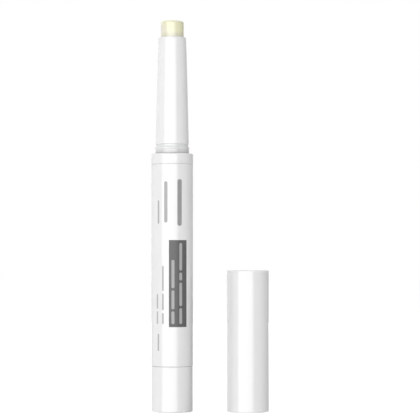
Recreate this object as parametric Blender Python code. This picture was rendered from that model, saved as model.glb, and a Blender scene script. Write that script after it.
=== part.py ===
"""Twist-up nail care pen, modelled piece by piece at its real size.

Units are metres and +Z is up. The origin is the centre of the pen's flat base, and the pen
stands on it with the cap taken off and set down beside it, mouth down. Turning the knob
turns a left-hand lead screw. The screw drives a keyed nut, which pushes the tube, the cup
and the stick of balm out through the nose.
"""

from math import cos, pi, radians, sin, tau

import bmesh
import bpy
from mathutils import Matrix, Vector

# Clearances
SEAM_GAP = 0.00012
FIT_GAP = 0.00015
RUNNING_GAP = 0.00025
END_GAP = 0.0005
CUT_OVERRUN = 0.001

# Facets of turned pieces, and the pitch of the steps on rounded edges
SHELL_FACETS = 48
CORE_FACETS = 32
FILLET_PITCH = 0.00013
WELD_DISTANCE = 0.000001
SHARP_ANGLE = radians(35)

# Stick of balm, as far out as it is shown
BALM_DIAMETER = 0.00655
BALM_SHOWING = 0.00475
BALM_EDGE_FILLET = 0.00045
BALM_CROWN = 0.00015
FEED_UP = 0.026
FEED_DOWN = 0.006

# Cup that carries the balm
CUP_SETBACK = 0.0001
CUP_WALL = 0.0004
CUP_DEPTH = 0.0077
CUP_FLOOR = 0.0008
CUP_STOP_DEPTH = 0.0015
CUP_SPIGOT_LENGTH = 0.0025
CUP_FILLET = 0.00012

# Push tube between the cup and the nut
TUBE_SETBACK = 0.000075
TUBE_WALL = 0.00065
TUBE_STEP = 0.0003
TUBE_STEP_LENGTH = 0.0012

# Lead screw: the spindle in the knob and the nut that climbs it
THREAD_DEPTH = 0.00055
THREAD_LEAD = 0.005
THREAD_STARTS = 2
THREAD_GAP = 0.0002
THREAD_FACETS = 16
THREAD_RINGS_PER_TURN = 12
THREAD_FLANK_SHARE = 0.85
SPINDLE_FLANGE = 0.0012
SPINDLE_TIP = 0.0005
TAIL_RADIUS = 0.0019
TAIL_SIDES = 4
TAIL_LENGTH = 0.0152
NUT_LENGTH = 0.0055
KEY_WIDTH = 0.0015
KEY_INSET = 0.0003
KEY_TIP_GAP = 0.0002

# Guide tube, whose neck shows between the nose and the collar
GUIDE_STEP = 0.000125
GUIDE_WALL = 0.0009
GUIDE_SEAT_DEPTH = 0.005
NECK_STEP = 0.00037
NECK_LENGTH = 0.00254
BEAD_HEIGHT = 0.00008
BEAD_LENGTH = 0.0008
BEAD_RISE = 0.0015
GROOVE_DEPTH = 0.00017
STUB_WALL = 0.00045
STUB_LENGTH = 0.009

# Nose sleeve, tapered to the mouth
NOSE_LENGTH = 0.03064
NOSE_BORE_GAP = 0.0001
NOSE_LIP_WALL = 0.000565
NOSE_BASE_WALL = 0.00064
NOSE_BULGE = 0.00006
NOSE_LIP_FILLET = 0.00038
NOSE_MOUTH_FILLET = 0.0001
NOSE_STATIONS = 4

# Collar ring on top of the barrel
COLLAR_HEIGHT = 0.00304
COLLAR_TOP_FILLET = 0.0004
SPIGOT_WALL = 0.0006
SPIGOT_LENGTH = 0.004

# Barrel
BARREL_LENGTH = 0.05742
BARREL_WALL = 0.0007
SEAM_FILLET = 0.0001

# Bearing sleeve in the barrel's lower end
BEARING_RECESS = 0.0003
BEARING_LENGTH = 0.0065

# Drive hub, its drag ring and its snap
HUB_GROOVE_WALL = 0.00048
HUB_FLANGE = 0.0011
HUB_FILLET = 0.0003
RING_SECTION = 0.0008
RING_GAP = 0.0001
RING_RISE = 0.0026
RING_FACETS = 10
BARB_GRIP = 0.0002
BARB_LAND = 0.0004
BARB_HEIGHT = 0.0014
SLIT_WIDTH = 0.0006
SLIT_LENGTH = 0.0032
RIB_COUNT = 6
RIB_WIDTH = 0.0012
RIB_HEIGHT = 0.00045
RIB_TOP_INSET = 0.0015

# Twist knob
KNOB_HEIGHT = 0.0129
KNOB_SETBACK = 0.0001
KNOB_WALL = 0.00145
KNOB_FLOOR = 0.0014
KNOB_BASE_FILLET = 0.0005

# Cap and its liner
CAP_SLIP = 0.0001
CAP_TOP_WALL = 0.0012
CAP_HEADROOM = 0.00085
CAP_TOP_FILLET = 0.0002
CAP_MOUTH_FILLET = 0.00015
CAP_SPACING = 0.02165
RIDGE_DEPTH = 0.00015
RIDGE_LENGTH = 0.0006
RIDGE_RISE = 0.0009
LINER_LENGTH = 0.0148
LINER_SEAT_GAP = 0.0003
LINER_MOUTH_GAP = 0.00022
LINER_BALM_GAP = 0.00028

# Radii, from the balm outwards
BALM_RADIUS = BALM_DIAMETER / 2
CUP_RADIUS = BALM_RADIUS - CUP_SETBACK
CUP_BORE = CUP_RADIUS - CUP_WALL
TUBE_RADIUS = CUP_RADIUS - TUBE_SETBACK
TUBE_BORE = TUBE_RADIUS - TUBE_WALL
THREAD_CREST = TUBE_BORE - RUNNING_GAP
NOSE_BORE = BALM_RADIUS + NOSE_BORE_GAP
NOSE_TIP_RADIUS = NOSE_BORE + NOSE_LIP_WALL
GUIDE_BORE = NOSE_BORE + GUIDE_STEP
GUIDE_RADIUS = GUIDE_BORE + GUIDE_WALL
STUB_RADIUS = GUIDE_BORE + STUB_WALL
NOSE_SEAT_RADIUS = STUB_RADIUS + FIT_GAP
NOSE_BASE_RADIUS = NOSE_SEAT_RADIUS + NOSE_BASE_WALL
NECK_RADIUS = GUIDE_RADIUS + NECK_STEP
BEAD_RADIUS = NECK_RADIUS + BEAD_HEIGHT
GROOVE_RADIUS = NECK_RADIUS - GROOVE_DEPTH
NUT_RADIUS = GUIDE_BORE - RUNNING_GAP
KEY_RADIUS = GUIDE_RADIUS - KEY_TIP_GAP
GUIDE_SEAT_RADIUS = GUIDE_RADIUS + FIT_GAP
SPIGOT_RADIUS = GUIDE_SEAT_RADIUS + SPIGOT_WALL
BARREL_BORE = SPIGOT_RADIUS + FIT_GAP
BARREL_RADIUS = BARREL_BORE + BARREL_WALL
KNOB_RADIUS = BARREL_RADIUS - KNOB_SETBACK
KNOB_BORE = KNOB_RADIUS - KNOB_WALL
PLUG_RADIUS = KNOB_BORE - FIT_GAP
RIB_RADIUS = PLUG_RADIUS + RIB_HEIGHT
CAP_BORE = BEAD_RADIUS + CAP_SLIP
LINER_RADIUS = CAP_BORE - FIT_GAP
SOCKET_RADIUS = TAIL_RADIUS + FIT_GAP / cos(pi / TAIL_SIDES)
RING_SEAT_RADIUS = SOCKET_RADIUS + HUB_GROOVE_WALL
RING_RADIUS = RING_SEAT_RADIUS + RING_GAP + RING_SECTION / 2
BEARING_BORE = RING_RADIUS + RING_SECTION / 2 + RING_GAP
SHAFT_RADIUS = BEARING_BORE - FIT_GAP
BARB_RADIUS = BEARING_BORE + BARB_GRIP

# Heights above the base, from the base upwards
BARREL_BASE = KNOB_HEIGHT + SEAM_GAP
COLLAR_BASE = BARREL_BASE + BARREL_LENGTH + SEAM_GAP
COLLAR_TOP = COLLAR_BASE + COLLAR_HEIGHT
NECK_BASE = COLLAR_TOP + SEAM_GAP
NECK_TOP = NECK_BASE + NECK_LENGTH
NOSE_BASE = NECK_TOP + SEAM_GAP
MOUTH_HEIGHT = NOSE_BASE + NOSE_LENGTH
BALM_TOP = MOUTH_HEIGHT + BALM_SHOWING
BEARING_BASE = BARREL_BASE + BEARING_RECESS
BEARING_LEDGE = BEARING_BASE + BEARING_LENGTH
HUB_BASE = KNOB_FLOOR + FIT_GAP
FLANGE_TOP = BEARING_BASE - FIT_GAP
FLANGE_BASE = FLANGE_TOP - HUB_FLANGE
BARB_BASE = BEARING_LEDGE + FIT_GAP
HUB_TOP = BARB_BASE + BARB_HEIGHT
GUIDE_BASE = HUB_TOP + RUNNING_GAP
BEARING_TOP = GUIDE_BASE + GUIDE_SEAT_DEPTH
SPINDLE_FLANGE_BASE = HUB_TOP + FIT_GAP
THREAD_BASE = SPINDLE_FLANGE_BASE + SPINDLE_FLANGE
NUT_BASE = THREAD_BASE + FEED_DOWN + END_GAP
NUT_TOP = NUT_BASE + NUT_LENGTH
CUP_TOP = MOUTH_HEIGHT - FEED_UP - CUP_STOP_DEPTH
CUP_BASE = CUP_TOP - CUP_DEPTH - CUP_FLOOR
SPINDLE_TOP = CUP_BASE - CUP_SPIGOT_LENGTH - FEED_DOWN - END_GAP
TUBE_BASE = NUT_TOP - TUBE_STEP_LENGTH + FIT_GAP
TUBE_TOP = CUP_BASE - FIT_GAP
BALM_BASE = CUP_BASE + CUP_FLOOR + FIT_GAP
CAP_DEPTH = BALM_TOP - COLLAR_TOP + CAP_HEADROOM
CAP_HEIGHT = CAP_DEPTH + CAP_TOP_WALL
LINER_BASE = CAP_DEPTH - FIT_GAP - LINER_LENGTH
LINER_SEAT = MOUTH_HEIGHT - COLLAR_TOP + LINER_SEAT_GAP - LINER_BASE

# Colour and roughness of each finish
GLOSS_WHITE = ((0.86, 0.86, 0.86), 0.22)
NATURAL_WHITE = ((0.74, 0.75, 0.75), 0.45)
BALM_CREAM = ((0.93, 0.89, 0.68), 0.50)
SEAL_GREY = ((0.35, 0.36, 0.37), 0.60)


def clear_scene():
    """Remove every object that the file opens with."""
    for item in list(bpy.data.objects):
        bpy.data.objects.remove(item, do_unlink=True)


def make_finish(name, finish):
    """Return a material with the colour and roughness of a finish."""
    colour, roughness = finish
    material = bpy.data.materials.new(name)
    material.use_nodes = True
    material.diffuse_color = (*colour, 1.0)
    shader = material.node_tree.nodes["Principled BSDF"]
    shader.inputs["Base Color"].default_value = (*colour, 1.0)
    shader.inputs["Roughness"].default_value = roughness
    shader.inputs["Metallic"].default_value = 0.0
    return material


def add_joint_frame(name, location=(0, 0, 0)):
    """Add an empty on the axis of a body's joint."""
    frame = bpy.data.objects.new(name, None)
    frame.location = location
    bpy.context.scene.collection.objects.link(frame)
    return frame


def add_object(name, builder, parent, height, finish=None):
    """Turn a finished bmesh into an object that stands at a height in its parent's frame."""
    mesh = bpy.data.meshes.new(name)
    builder.to_mesh(mesh)
    builder.free()
    mesh.shade_smooth()
    mesh.set_sharp_from_angle(angle=SHARP_ANGLE)
    piece = bpy.data.objects.new(name, mesh)
    piece.parent = parent
    piece.location.z = height
    bpy.context.scene.collection.objects.link(piece)
    if finish:
        mesh.materials.append(make_finish(f"{name}_finish", finish))
    return piece


def apply_shape(piece, tool, operation):
    """Cut a hidden tool out of a piece, or join the tool to it."""
    modifier = piece.modifiers.new(f"{operation.title()} {tool.name}", "BOOLEAN")
    modifier.operation = operation
    modifier.solver = "EXACT"
    modifier.object = tool
    tool.hide_render = True
    tool.display_type = "WIRE"


def fillet_arc(before, corner, after, fillet):
    """Return the points of an arc that rounds one corner of an outline."""
    to_before = (before - corner).normalized()
    to_after = (after - corner).normalized()
    half_angle = to_before.angle(to_after) / 2
    setback = fillet * cos(half_angle) / sin(half_angle)
    bisector = (to_before + to_after).normalized()
    centre = corner + bisector * fillet / sin(half_angle)
    start = (corner + to_before * setback - centre).normalized()
    end = (corner + to_after * setback - centre).normalized()
    steps = max(1, round(fillet / FILLET_PITCH))
    return [centre + start.slerp(end, step / steps) * fillet for step in range(steps + 1)]


def rounded_outline(corners):
    """Return an outline's points, with each corner (radius, height, fillet) rounded."""
    points = []
    for index, (radius, height, fillet) in enumerate(corners):
        corner = Vector((radius, height))
        if fillet:
            before = Vector(corners[index - 1][:2])
            after = Vector(corners[(index + 1) % len(corners)][:2])
            points.extend(fillet_arc(before, corner, after, fillet))
        else:
            points.append(corner)
    return points


def turned(corners, facets):
    """Turn an outline about Z; one that starts and ends on the axis is solid inside."""
    builder = bmesh.new()
    points = rounded_outline(corners)
    verts = [builder.verts.new((point.x, 0, point.y)) for point in points]
    edges = [builder.edges.new(pair) for pair in zip(verts, verts[1:])]
    if corners[0][0] or corners[-1][0]:
        edges.append(builder.edges.new((verts[-1], verts[0])))
    bmesh.ops.spin(builder, geom=verts + edges, cent=(0, 0, 0), axis=(0, 0, 1),
                   angle=tau, steps=facets)
    bmesh.ops.remove_doubles(builder, verts=builder.verts, dist=WELD_DISTANCE)
    bmesh.ops.dissolve_degenerate(builder, edges=builder.edges, dist=WELD_DISTANCE)
    flat_tips = [vert for vert in builder.verts if is_flat_tip(vert)]
    bmesh.ops.dissolve_verts(builder, verts=flat_tips)
    bmesh.ops.recalc_face_normals(builder, faces=builder.faces)
    return builder


def is_flat_tip(vert):
    """Say whether a point is the middle of a flat disc on the axis."""
    rises = [abs(edge.other_vert(vert).co.z - vert.co.z) for edge in vert.link_edges]
    return vert.co.xy.length < WELD_DISTANCE and max(rises) < WELD_DISTANCE


def lofted(rings):
    """Skin a stack of rings that have the same number of points, and cap both ends."""
    builder = bmesh.new()
    rows = [[builder.verts.new(point) for point in ring] for ring in rings]
    for lower, upper in zip(rows, rows[1:]):
        for index in range(len(lower)):
            builder.faces.new((lower[index - 1], lower[index], upper[index], upper[index - 1]))
    builder.faces.new(rows[0])
    builder.faces.new(rows[-1])
    bmesh.ops.recalc_face_normals(builder, faces=builder.faces)
    return builder


def block(size, centre, turn=0.0):
    """Return a box of a size about a centre, turned about Z."""
    builder = bmesh.new()
    bmesh.ops.create_cube(builder, size=1)
    bmesh.ops.scale(builder, vec=size, verts=builder.verts)
    bmesh.ops.translate(builder, vec=centre, verts=builder.verts)
    bmesh.ops.rotate(builder, matrix=Matrix.Rotation(turn, 3, "Z"), verts=builder.verts)
    return builder


def round_ring(radius, height):
    """Return one round ring of the spindle's points."""
    steps = [tau * index / THREAD_FACETS for index in range(THREAD_FACETS)]
    return [(radius * cos(angle), radius * sin(angle), height) for angle in steps]


def sided_ring(corner_radius, height):
    """Return one flat-sided ring of the spindle's points, with a corner on +X."""
    side_angle = tau / TAIL_SIDES
    flat = corner_radius * cos(side_angle / 2)
    ring = []
    for index in range(THREAD_FACETS):
        angle = tau * index / THREAD_FACETS
        reach = flat / cos(angle % side_angle - side_angle / 2)
        ring.append((reach * cos(angle), reach * sin(angle), height))
    return ring


def thread_ring(height, world_height, first, clearance, crest=THREAD_CREST):
    """Return one ring of the left-hand thread, its points counted from facet first."""
    turn = -tau * world_height / THREAD_LEAD
    ring = []
    for index in range(first, first + THREAD_FACETS):
        phase = tau * (index + 1 / 2) / THREAD_FACETS
        share = 1 / 2 + THREAD_FLANK_SHARE * cos(THREAD_STARTS * phase)
        reach = crest - THREAD_DEPTH * (1 - min(1, max(0, share))) + clearance
        ring.append((reach * cos(phase + turn), reach * sin(phase + turn), height))
    return ring


def thread_rings(base, length, world_base, clearance, tip=0):
    """Return the rings of a stretch of thread from its base up, with a bevelled tip.

    Each ring starts at the facet that faces +X at the base, as the plain rings do.
    """
    first = round(world_base / THREAD_LEAD * THREAD_FACETS - 1 / 2)
    count = round(length / THREAD_LEAD * THREAD_RINGS_PER_TURN)
    rings = []
    for index in range(count + 1):
        rise = length * index / count
        rings.append(thread_ring(base + rise, world_base + rise, first, clearance))
    if tip:
        end = length + tip
        crest = THREAD_CREST - tip
        rings.append(thread_ring(base + end, world_base + end, first, clearance, crest))
    return rings


def nose_radius(rise):
    """Return the nose's outer radius at a rise above its base, a taper with a slight bulge."""
    share = rise / NOSE_LENGTH
    taper = NOSE_BASE_RADIUS + (NOSE_TIP_RADIUS - NOSE_BASE_RADIUS) * share
    return taper + NOSE_BULGE * 4 * share * (1 - share)


def build_barrel(parent):
    """Barrel: the plain outer tube between the two seams."""
    corners = [
        (BARREL_RADIUS, BARREL_LENGTH, SEAM_FILLET),
        (BARREL_RADIUS, 0, SEAM_FILLET),
        (BARREL_BORE, 0, 0),
        (BARREL_BORE, BARREL_LENGTH, 0),
    ]
    add_object("barrel", turned(corners, SHELL_FACETS), parent, BARREL_BASE, GLOSS_WHITE)


def build_collar(parent):
    """Collar: the ring that closes the barrel, with a spigot down into it."""
    corners = [
        (BARREL_RADIUS, COLLAR_HEIGHT, COLLAR_TOP_FILLET),
        (BARREL_RADIUS, 0, SEAM_FILLET),
        (SPIGOT_RADIUS, 0, 0),
        (SPIGOT_RADIUS, -SPIGOT_LENGTH, SEAM_FILLET),
        (GUIDE_SEAT_RADIUS, -SPIGOT_LENGTH, 0),
        (GUIDE_SEAT_RADIUS, COLLAR_HEIGHT, SEAM_FILLET),
    ]
    add_object("collar", turned(corners, SHELL_FACETS), parent, COLLAR_BASE, GLOSS_WHITE)


def build_nose_sleeve(parent):
    """Nose sleeve: the tapered front, seated on the guide tube's stub."""
    seat_depth = STUB_LENGTH + FIT_GAP
    corners = [(NOSE_SEAT_RADIUS, 0, 0)]
    corners.append((nose_radius(0), 0, SEAM_FILLET))
    for station in range(1, NOSE_STATIONS):
        rise = NOSE_LENGTH * station / NOSE_STATIONS
        corners.append((nose_radius(rise), rise, 0))
    corners.append((nose_radius(NOSE_LENGTH), NOSE_LENGTH, NOSE_LIP_FILLET))
    corners.append((NOSE_BORE, NOSE_LENGTH, NOSE_MOUTH_FILLET))
    corners.append((NOSE_BORE, seat_depth, 0))
    corners.append((NOSE_SEAT_RADIUS, seat_depth, 0))
    add_object("nose_sleeve", turned(corners, SHELL_FACETS), parent, NOSE_BASE, GLOSS_WHITE)


def build_guide_tube(parent):
    """Guide tube: slotted for the nut's keys, with the neck that the cap snaps onto."""
    neck_base = NECK_BASE - GUIDE_BASE
    neck_top = NECK_TOP - GUIDE_BASE
    bead_rise = neck_base + BEAD_RISE
    corners = [
        (GUIDE_BORE, 0, 0),
        (GUIDE_RADIUS, 0, 0),
        (GUIDE_RADIUS, neck_base, 0),
        (NECK_RADIUS, neck_base, 0),
        (NECK_RADIUS, bead_rise - BEAD_LENGTH / 2, 0),
        (BEAD_RADIUS, bead_rise - BEAD_LENGTH / 4, 0),
        (BEAD_RADIUS, bead_rise + BEAD_LENGTH / 4, 0),
        (GROOVE_RADIUS, bead_rise + BEAD_LENGTH / 2, 0),
        (GROOVE_RADIUS, neck_top, 0),
        (STUB_RADIUS, neck_top, 0),
        (STUB_RADIUS, neck_top + STUB_LENGTH, 0),
        (GUIDE_BORE, neck_top + STUB_LENGTH, 0),
    ]
    tube = add_object("guide_tube", turned(corners, SHELL_FACETS), parent, GUIDE_BASE,
                      NATURAL_WHITE)
    slot_length = NUT_BASE + NUT_LENGTH + FEED_UP - GUIDE_BASE
    size = (2 * (GUIDE_RADIUS + CUT_OVERRUN), KEY_WIDTH + 2 * RUNNING_GAP,
            slot_length + CUT_OVERRUN)
    centre = (0, 0, (slot_length - CUT_OVERRUN) / 2)
    slot = add_object("guide_slot_tool", block(size, centre), parent, GUIDE_BASE)
    apply_shape(tube, slot, "DIFFERENCE")


def build_bearing_sleeve(parent):
    """Bearing sleeve: the knob's bearing below, and the guide tube's seat above its ledge."""
    length = BEARING_TOP - BEARING_BASE
    corners = [
        (SPIGOT_RADIUS, length, 0),
        (SPIGOT_RADIUS, 0, SEAM_FILLET),
        (BEARING_BORE, 0, SEAM_FILLET),
        (BEARING_BORE, BEARING_LENGTH, 0),
        (GUIDE_SEAT_RADIUS, BEARING_LENGTH, 0),
        (GUIDE_SEAT_RADIUS, length, 0),
    ]
    add_object("bearing_sleeve", turned(corners, CORE_FACETS), parent, BEARING_BASE,
               NATURAL_WHITE)


def build_twist_knob(parent):
    """Twist knob: the cup-shaped lower end that the fingers turn."""
    flange_seat = FLANGE_BASE - FIT_GAP
    groove_radius = RIB_RADIUS + FIT_GAP
    corners = [
        (0, KNOB_FLOOR, 0),
        (KNOB_BORE, KNOB_FLOOR, 0),
        (KNOB_BORE, flange_seat, 0),
        (groove_radius, flange_seat, 0),
        (groove_radius, KNOB_HEIGHT, 0),
        (KNOB_RADIUS, KNOB_HEIGHT, SEAM_FILLET),
        (KNOB_RADIUS, 0, KNOB_BASE_FILLET),
        (0, 0, 0),
    ]
    knob = add_object("twist_knob", turned(corners, SHELL_FACETS), parent, 0, GLOSS_WHITE)
    rib_top = FLANGE_BASE - RIB_TOP_INSET + FIT_GAP
    size = (2 * groove_radius, RIB_WIDTH + 2 * FIT_GAP, rib_top - KNOB_FLOOR)
    centre = (0, 0, (rib_top + KNOB_FLOOR) / 2)
    for index in range(RIB_COUNT // 2):
        turn = tau * index / RIB_COUNT
        groove = add_object(f"knob_groove_tool_{index + 1}", block(size, centre, turn),
                            parent, 0)
        apply_shape(knob, groove, "DIFFERENCE")


def build_drive_hub(parent):
    """Drive hub: ribbed plug, flange, shaft with the ring's groove, and a split snap barb."""
    flange_base = FLANGE_BASE - HUB_BASE
    flange_top = FLANGE_TOP - HUB_BASE
    ring_rise = flange_top + RING_RISE
    groove_half = RING_SECTION / 2 + RING_GAP
    barb_base = BARB_BASE - HUB_BASE
    hub_top = HUB_TOP - HUB_BASE
    corners = [
        (0, hub_top, 0),
        (SHAFT_RADIUS, hub_top, 0),
        (BARB_RADIUS, barb_base + BARB_LAND, 0),
        (BARB_RADIUS, barb_base, 0),
        (SHAFT_RADIUS, barb_base, 0),
        (SHAFT_RADIUS, ring_rise + groove_half, 0),
        (RING_SEAT_RADIUS, ring_rise + groove_half, 0),
        (RING_SEAT_RADIUS, ring_rise - groove_half, 0),
        (SHAFT_RADIUS, ring_rise - groove_half, 0),
        (SHAFT_RADIUS, flange_top, 0),
        (RIB_RADIUS, flange_top, 0),
        (RIB_RADIUS, flange_base, 0),
        (PLUG_RADIUS, flange_base, 0),
        (PLUG_RADIUS, 0, HUB_FILLET),
        (0, 0, 0),
    ]
    hub = add_object("drive_hub", turned(corners, CORE_FACETS), parent, HUB_BASE,
                     NATURAL_WHITE)
    rib_base = HUB_FILLET
    rib_top = flange_base - RIB_TOP_INSET
    size = (2 * RIB_RADIUS, RIB_WIDTH, rib_top - rib_base)
    centre = (0, 0, (rib_top + rib_base) / 2)
    for index in range(RIB_COUNT // 2):
        turn = tau * index / RIB_COUNT
        rib = add_object(f"hub_rib_tool_{index + 1}", block(size, centre, turn), parent,
                         HUB_BASE)
        apply_shape(hub, rib, "UNION")
    socket_base = SPINDLE_FLANGE_BASE - TAIL_LENGTH - FIT_GAP - HUB_BASE
    rings = [sided_ring(SOCKET_RADIUS, socket_base),
             sided_ring(SOCKET_RADIUS, hub_top + CUT_OVERRUN)]
    socket = add_object("hub_socket_tool", lofted(rings), parent, HUB_BASE)
    apply_shape(hub, socket, "DIFFERENCE")
    slit_size = (2 * BARB_RADIUS + CUT_OVERRUN, SLIT_WIDTH, SLIT_LENGTH + CUT_OVERRUN)
    slit_centre = (0, 0, hub_top - (SLIT_LENGTH - CUT_OVERRUN) / 2)
    for index, turn in enumerate((0, pi / 2)):
        slit = add_object(f"hub_slit_tool_{index + 1}", block(slit_size, slit_centre, turn),
                          parent, HUB_BASE)
        apply_shape(hub, slit, "DIFFERENCE")


def build_drag_ring(parent):
    """Drag ring: the soft ring that gives the knob its even resistance."""
    builder = bmesh.new()
    steps = [tau * index / RING_FACETS for index in range(RING_FACETS)]
    half = RING_SECTION / 2
    verts = [builder.verts.new((RING_RADIUS + half * cos(angle), 0, half * sin(angle)))
             for angle in steps]
    edges = [builder.edges.new((verts[index - 1], verts[index])) for index in range(RING_FACETS)]
    bmesh.ops.spin(builder, geom=verts + edges, cent=(0, 0, 0), axis=(0, 0, 1),
                   angle=tau, steps=CORE_FACETS)
    bmesh.ops.remove_doubles(builder, verts=builder.verts, dist=WELD_DISTANCE)
    bmesh.ops.recalc_face_normals(builder, faces=builder.faces)
    add_object("drag_ring", builder, parent, FLANGE_TOP + RING_RISE, SEAL_GREY)


def build_spindle(parent):
    """Spindle: square tail, flange, and the left-hand two-start thread."""
    thread_length = SPINDLE_TOP - SPINDLE_TIP - THREAD_BASE
    flange_radius = GUIDE_BORE - RUNNING_GAP
    rings = [
        sided_ring(TAIL_RADIUS, -TAIL_LENGTH),
        sided_ring(TAIL_RADIUS, 0),
        round_ring(flange_radius, 0),
        round_ring(flange_radius, SPINDLE_FLANGE),
    ]
    rings.extend(thread_rings(SPINDLE_FLANGE, thread_length, THREAD_BASE, 0, SPINDLE_TIP))
    add_object("spindle", lofted(rings), parent, SPINDLE_FLANGE_BASE, NATURAL_WHITE)


def build_drive_nut(parent, frame_height):
    """Drive nut: threaded bore, two keys for the guide slots, and the push tube's seat."""
    seat_radius = TUBE_RADIUS - TUBE_STEP + FIT_GAP
    threaded = NUT_LENGTH - TUBE_STEP_LENGTH
    corners = [
        (0, threaded, 0),
        (seat_radius, threaded, 0),
        (seat_radius, NUT_LENGTH, 0),
        (NUT_RADIUS, NUT_LENGTH, 0),
        (NUT_RADIUS, 0, FIT_GAP),
        (0, 0, 0),
    ]
    base = NUT_BASE - frame_height
    nut = add_object("drive_nut", turned(corners, CORE_FACETS), parent, base, NATURAL_WHITE)
    key_length = threaded - 2 * KEY_INSET
    size = (2 * KEY_RADIUS, KEY_WIDTH, key_length)
    keys = add_object("nut_key_tool", block(size, (0, 0, threaded / 2)), parent, base)
    apply_shape(nut, keys, "UNION")
    length = NUT_LENGTH + 2 * CUT_OVERRUN
    rings = thread_rings(-CUT_OVERRUN, length, NUT_BASE - CUT_OVERRUN, THREAD_GAP)
    bore = add_object("nut_thread_tool", lofted(rings), parent, base)
    apply_shape(nut, bore, "DIFFERENCE")


def build_push_tube(parent, frame_height):
    """Push tube: carries the cup, and clears the spindle inside it."""
    length = TUBE_TOP - TUBE_BASE
    step_rise = TUBE_STEP_LENGTH
    corners = [
        (TUBE_RADIUS, length, 0),
        (TUBE_RADIUS, step_rise, 0),
        (TUBE_RADIUS - TUBE_STEP, step_rise, 0),
        (TUBE_RADIUS - TUBE_STEP, 0, 0),
        (TUBE_BORE, 0, 0),
        (TUBE_BORE, length, 0),
    ]
    add_object("push_tube", turned(corners, CORE_FACETS), parent, TUBE_BASE - frame_height,
               NATURAL_WHITE)


def build_balm_cup(parent, frame_height):
    """Balm cup: holds the foot of the stick, with a spigot down into the push tube."""
    spigot_radius = TUBE_BORE - FIT_GAP
    corners = [
        (0, CUP_FLOOR, 0),
        (CUP_BORE, CUP_FLOOR, 0),
        (CUP_BORE, CUP_FLOOR + CUP_DEPTH, 0),
        (CUP_RADIUS, CUP_FLOOR + CUP_DEPTH, 0),
        (CUP_RADIUS, 0, CUP_FILLET),
        (spigot_radius, 0, 0),
        (spigot_radius, -CUP_SPIGOT_LENGTH, CUP_FILLET),
        (0, -CUP_SPIGOT_LENGTH, 0),
    ]
    add_object("balm_cup", turned(corners, CORE_FACETS), parent, CUP_BASE - frame_height,
               NATURAL_WHITE)


def build_balm(parent, frame_height):
    """Balm: the stick, narrower where it is cast into the cup."""
    foot_radius = CUP_BORE - FIT_GAP
    shoulder = CUP_TOP + FIT_GAP - BALM_BASE
    length = BALM_TOP - BALM_BASE
    corners = [
        (0, length, 0),
        (BALM_RADIUS / 2, length - BALM_CROWN / 4, 0),
        (BALM_RADIUS, length - BALM_CROWN, BALM_EDGE_FILLET),
        (BALM_RADIUS, shoulder, 0),
        (foot_radius, shoulder, 0),
        (foot_radius, 0, CUP_FILLET),
        (0, 0, 0),
    ]
    add_object("balm", turned(corners, SHELL_FACETS), parent, BALM_BASE - frame_height,
               BALM_CREAM)


def build_cap_shell(parent):
    """Cap shell: closed at its top, with a snap ridge just inside its mouth."""
    corners = [
        (0, CAP_HEIGHT, 0),
        (BARREL_RADIUS, CAP_HEIGHT, CAP_TOP_FILLET),
        (BARREL_RADIUS, 0, CAP_MOUTH_FILLET),
        (CAP_BORE, 0, CAP_MOUTH_FILLET),
        (CAP_BORE, RIDGE_RISE - RIDGE_LENGTH / 2, 0),
        (CAP_BORE - RIDGE_DEPTH, RIDGE_RISE, 0),
        (CAP_BORE, RIDGE_RISE + RIDGE_LENGTH / 2, 0),
        (CAP_BORE, CAP_DEPTH, 0),
        (0, CAP_DEPTH, 0),
    ]
    add_object("cap_shell", turned(corners, SHELL_FACETS), parent, 0, GLOSS_WHITE)


def build_cap_liner(parent):
    """Cap liner: the inner tube that closes over the nose's lip."""
    mouth_radius = nose_radius(COLLAR_TOP + LINER_BASE - NOSE_BASE) + LINER_MOUTH_GAP
    seat_radius = NOSE_TIP_RADIUS + LINER_MOUTH_GAP
    balm_bore = BALM_RADIUS + LINER_BALM_GAP
    corners = [
        (mouth_radius, 0, 0),
        (LINER_RADIUS, 0, SEAM_FILLET),
        (LINER_RADIUS, LINER_LENGTH, 0),
        (balm_bore, LINER_LENGTH, 0),
        (balm_bore, LINER_SEAT, 0),
        (seat_radius, LINER_SEAT, 0),
    ]
    add_object("cap_liner", turned(corners, CORE_FACETS), parent, LINER_BASE, NATURAL_WHITE)


def build_pen():
    """Build every piece of the pen in the frame of the body that it belongs to."""
    clear_scene()
    body = add_joint_frame("pen_body")
    build_barrel(body)
    build_collar(body)
    build_nose_sleeve(body)
    build_guide_tube(body)
    build_bearing_sleeve(body)

    knob_frame = add_joint_frame("knob_turn")
    build_twist_knob(knob_frame)
    build_drive_hub(knob_frame)
    build_drag_ring(knob_frame)
    build_spindle(knob_frame)

    feed_frame = add_joint_frame("balm_feed", (0, 0, CUP_BASE))
    build_drive_nut(feed_frame, CUP_BASE)
    build_push_tube(feed_frame, CUP_BASE)
    build_balm_cup(feed_frame, CUP_BASE)
    build_balm(feed_frame, CUP_BASE)

    cap_frame = add_joint_frame("cap_lift", (CAP_SPACING, 0, 0))
    build_cap_shell(cap_frame)
    build_cap_liner(cap_frame)


build_pen()
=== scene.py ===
"""Twist-up nail care pen, standing uncapped beside its cap on a pale studio floor.

Units are metres, +Z is up, and the origin is the centre of the pen's flat base. The viewer
stands on -Y. The shells that show are turned again from finer outlines than the model's,
each on the sizes of the node that it replaces. The working pieces inside stay as modelled
and get a finish of their own.
"""

import logging
from abc import ABC, abstractmethod
from collections.abc import Mapping, Sequence
from dataclasses import dataclass
from enum import Enum, IntEnum
from math import ceil, cos, pi, radians, sin, tau

import bmesh
import bpy
from mathutils import Matrix, Vector, noise


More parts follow.
